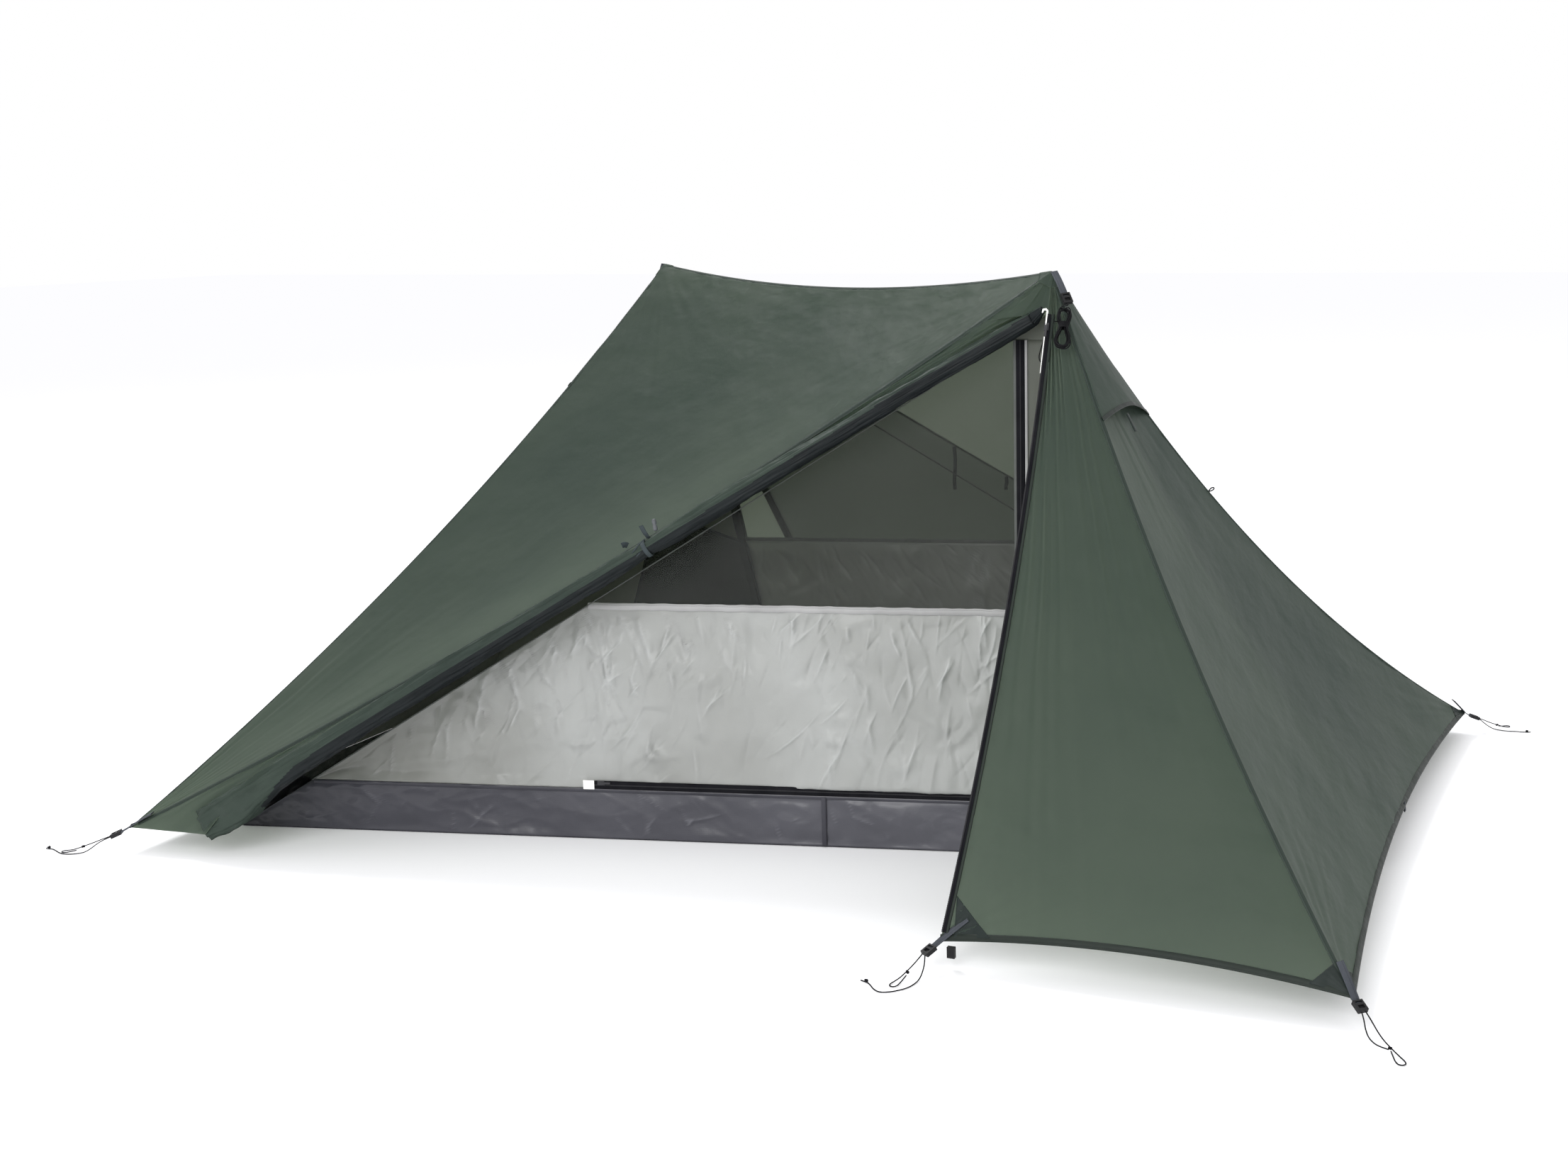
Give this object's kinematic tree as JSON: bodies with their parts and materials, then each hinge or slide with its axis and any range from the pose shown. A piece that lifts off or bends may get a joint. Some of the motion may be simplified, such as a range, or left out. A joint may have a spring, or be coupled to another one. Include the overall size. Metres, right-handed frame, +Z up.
{
  "type": "two pole ridge tent",
  "caption": "Low ridge tent on two offset upright poles, with a separate inner room, rolled-back front door, hooded end vents and corded pegging points.",
  "frame": {"origin": "on the ground under the centre of the half-turn-symmetric tent, measured without the free cords", "axes": "+X along the long side, +Y to the rear (the open doorway is at the front, -Y), +Z up"},
  "size_m": [2.8806, 1.9193, 1.174],
  "materials": {
    "fly_cloth": "satin",
    "vent_mesh": "matte",
    "peak_cap": "matte",
    "zip_tape": "matte",
    "grey_webbing": "matte",
    "black_plastic": "satin",
    "floor_cloth": "satin",
    "inner_cloth": "satin",
    "inner_mesh": "matte",
    "pole_metal": "satin",
    "pole_rubber": "matte",
    "slider_metal": "satin",
    "black_cord": "matte"
  },
  "bodies": {
    "tent": {"fly_roof_front": "fly_cloth", "fly_roof_rear": "fly_cloth", "fly_end_right": "fly_cloth", "fly_end_left": "fly_cloth", "fly_vestibule_front": "fly_cloth", "fly_vestibule_rear": "fly_cloth", "fly_door_rear": "fly_cloth", "vent_meshes": "vent_mesh", "vent_hoods": "fly_cloth", "peak_caps": "peak_cap", "fly_zip_tapes": "zip_tape", "fly_door_front": "fly_cloth", "fly_door_roll": "fly_cloth", "webbing_tabs": "grey_webbing", "line_tensioners": "black_plastic", "guy_out_loops": "grey_webbing", "hem_clips": "black_plastic", "floor_sheet": "floor_cloth", "tub_long_walls": "floor_cloth", "tub_end_walls": "floor_cloth", "inner_door_lower_front": "inner_cloth", "inner_door_lower_rear": "inner_cloth", "inner_door_mesh_front": "inner_mesh", "inner_door_mesh_rear": "inner_mesh", "inner_side_front": "inner_cloth", "inner_side_rear": "inner_cloth", "inner_zip_tapes": "zip_tape", "inner_roof_front": "inner_mesh", "inner_roof_rear": "inner_mesh", "inner_end_right": "inner_cloth", "inner_end_left": "inner_cloth", "mesh_pocket": "inner_mesh", "inner_peak_clips": "grey_webbing", "pole_upper_front": "pole_metal", "pole_upper_rear": "pole_metal", "pole_clamps": "black_plastic", "pole_tips": "black_plastic", "cord_front_left": "black_cord", "cord_front_door": "black_cord", "cord_front_right": "black_cord", "cord_rear_right": "black_cord", "cord_knots": "black_cord", "guyline_hank": "black_cord"},
    "fly_slider_front": {"fly_slider_front": "slider_metal", "zip_pull_cords": "black_cord"},
    "fly_slider_rear": {"fly_slider_rear": "slider_metal"},
    "inner_slider_front": {"inner_slider_front": "slider_metal"},
    "inner_slider_rear": {"inner_slider_rear": "slider_metal"},
    "pole_lower_front": {"pole_lower_front": "pole_metal", "pole_foot_front": "pole_rubber"},
    "pole_lower_rear": {"pole_lower_rear": "pole_metal", "pole_foot_rear": "pole_rubber"},
    "pole_lever_front": {"pole_lever_front": "black_plastic"},
    "pole_lever_rear": {"pole_lever_rear": "black_plastic"},
    "door_toggle": {"door_toggle": "black_plastic"},
    "vent_strut_right": {"vent_strut_right": "fly_cloth"},
    "vent_strut_left": {"vent_strut_left": "fly_cloth"}
  },
  "joints": [
    {"name": "fly_zip_front", "type": "hinge", "parent": "tent", "child": "fly_slider_front", "pos_m": [-9.46253, -0.49053, 0.72893], "axis": [0, 0.8838, -0.4679], "range_deg": [0, 6.4]},
    {"name": "fly_zip_rear", "type": "hinge", "parent": "tent", "child": "fly_slider_rear", "pos_m": [9.80278, -0.1871, 2.00878], "axis": [0, 0.8838, 0.4679], "range_deg": [0, 5.93]},
    {"name": "inner_zip_front", "type": "slide", "parent": "tent", "child": "inner_slider_front", "axis": [0.9766, 0.2152, 0], "range_m": [0, 0.85]},
    {"name": "inner_zip_rear", "type": "slide", "parent": "tent", "child": "inner_slider_rear", "axis": [-0.9766, -0.2152, 0], "range_m": [0, 0.68]},
    {"name": "pole_height_front", "type": "slide", "parent": "tent", "child": "pole_lower_front", "axis": [0, 0.0548, 0.9985], "range_m": [0, 0.43]},
    {"name": "pole_height_rear", "type": "slide", "parent": "tent", "child": "pole_lower_rear", "axis": [0, -0.0548, 0.9985], "range_m": [0, 0.43]},
    {"name": "pole_lock_front", "type": "hinge", "parent": "tent", "child": "pole_lever_front", "pos_m": [0.575, -0.31219, 0.56915], "axis": [1, 0, 0], "range_deg": [-110, 0]},
    {"name": "pole_lock_rear", "type": "hinge", "parent": "tent", "child": "pole_lever_rear", "pos_m": [-0.575, 0.31219, 0.56915], "axis": [-1, 0, 0], "range_deg": [-110, 0]},
    {"name": "toggle_turn", "type": "hinge", "parent": "tent", "child": "door_toggle", "pos_m": [-0.16608, -0.52214, 0.69032], "axis": [0, -0.9119, 0.4104], "range_deg": [-60, 60]},
    {"name": "vent_prop_right", "type": "hinge", "parent": "tent", "child": "vent_strut_right", "pos_m": [0.72853, -0.27997, 0.90633], "axis": [-0.0428, -0.9968, 0.0681], "range_deg": [0, 70]},
    {"name": "vent_prop_left", "type": "hinge", "parent": "tent", "child": "vent_strut_left", "pos_m": [-0.7312, 0.27572, 0.91218], "axis": [0.0386, 0.9974, 0.0615], "range_deg": [0, 70]}
  ]
}
